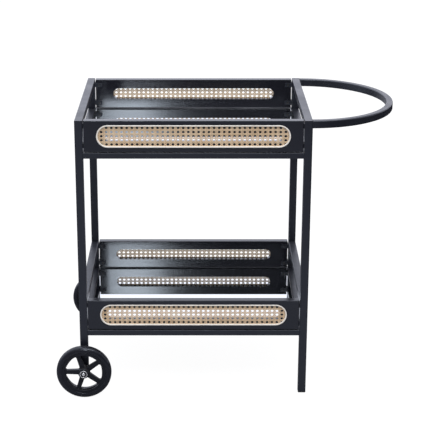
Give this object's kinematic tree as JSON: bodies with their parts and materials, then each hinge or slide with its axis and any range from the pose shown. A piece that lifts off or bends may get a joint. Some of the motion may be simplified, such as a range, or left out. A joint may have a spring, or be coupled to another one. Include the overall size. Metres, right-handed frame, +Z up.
{
  "type": "bar cart",
  "caption": "Rolling bar cart: mirrored trays with cane-panelled long sides in a black tube frame, a half-round loop handle at one end and spoked wheels at the other.",
  "frame": {"origin": "on the floor, under the middle of the whole cart's box, handle and wheels included", "axes": "+X towards the handle, -Y towards the front, +Z up"},
  "size_m": [0.8784, 0.5362, 0.742],
  "materials": {
    "frame_black": "satin black powder coat on steel tube",
    "panel_lacquer": "semi-gloss black lacquer on board",
    "cane": "woven natural cane",
    "trim_cream": "pale rattan reed, lightly waxed",
    "mirror": "silvered float glass",
    "board": "dark stained fibreboard",
    "rim_plastic": "moulded black plastic, fine texture",
    "tyre": "smooth black rubber, slight sheen",
    "bush_plastic": "natural nylon",
    "bright_steel": "bright plated",
    "zinc_steel": "zinc plated",
    "bracket_black": "satin black powder coat",
    "screw_black": "black oxide",
    "cap_plastic": "moulded black plastic"
  },
  "bodies": {
    "cart": {"axle_bolt_front": "bright_steel", "axle_bolt_rear": "bright_steel", "axle_nut_front": "zinc_steel", "axle_nut_rear": "zinc_steel", "axle_sleeve_front": "zinc_steel", "axle_sleeve_rear": "zinc_steel", "axle_spacer_front": "zinc_steel", "axle_spacer_rear": "zinc_steel", "axle_washer_front": "bright_steel", "axle_washer_rear": "bright_steel", "board_screws": "zinc_steel", "end_cap_front_left": "cap_plastic", "end_cap_rear_left": "cap_plastic", "foot_front_right": "cap_plastic", "foot_rear_right": "cap_plastic", "handle_loop": "frame_black", "leg_front_left": "frame_black", "leg_front_right": "frame_black", "leg_rear_left": "frame_black", "leg_rear_right": "frame_black", "lower_base_rail_front": "frame_black", "lower_base_rail_left": "frame_black", "lower_base_rail_rear": "frame_black", "lower_base_rail_right": "frame_black", "lower_cane_front": "cane", "lower_cane_rear": "cane", "lower_cane_trim_front": "trim_cream", "lower_cane_trim_rear": "trim_cream", "lower_cross_bars": "frame_black", "lower_mirror": "mirror", "lower_panel_brackets": "bracket_black", "lower_panel_front": "panel_lacquer", "lower_panel_rear": "panel_lacquer", "lower_side_rail_left": "frame_black", "lower_side_rail_right": "frame_black", "lower_tray_board": "board", "panel_screws": "screw_black", "top_rail_left": "frame_black", "top_rail_right": "frame_black", "upper_base_rail_front": "frame_black", "upper_base_rail_left": "frame_black", "upper_base_rail_rear": "frame_black", "upper_base_rail_right": "frame_black", "upper_cane_front": "cane", "upper_cane_rear": "cane", "upper_cane_trim_front": "trim_cream", "upper_cane_trim_rear": "trim_cream", "upper_cross_bars": "frame_black", "upper_mirror": "mirror", "upper_panel_brackets": "bracket_black", "upper_panel_front": "panel_lacquer", "upper_panel_rear": "panel_lacquer", "upper_tray_board": "board"},
    "front_wheel": {"wheel_rim_front": "rim_plastic", "tyre_front": "tyre", "hub_bush_front": "bush_plastic"},
    "rear_wheel": {"wheel_rim_rear": "rim_plastic", "tyre_rear": "tyre", "hub_bush_rear": "bush_plastic"}
  },
  "joints": [
    {"name": "front_wheel_spin", "type": "hinge", "parent": "cart", "child": "front_wheel", "pos_m": [-0.36775, -0.2473, 0.0715], "axis": [0, 1, 0], "continuous": true},
    {"name": "rear_wheel_spin", "type": "hinge", "parent": "cart", "child": "rear_wheel", "pos_m": [-0.36775, 0.2473, 0.0715], "axis": [0, 1, 0], "continuous": true}
  ]
}
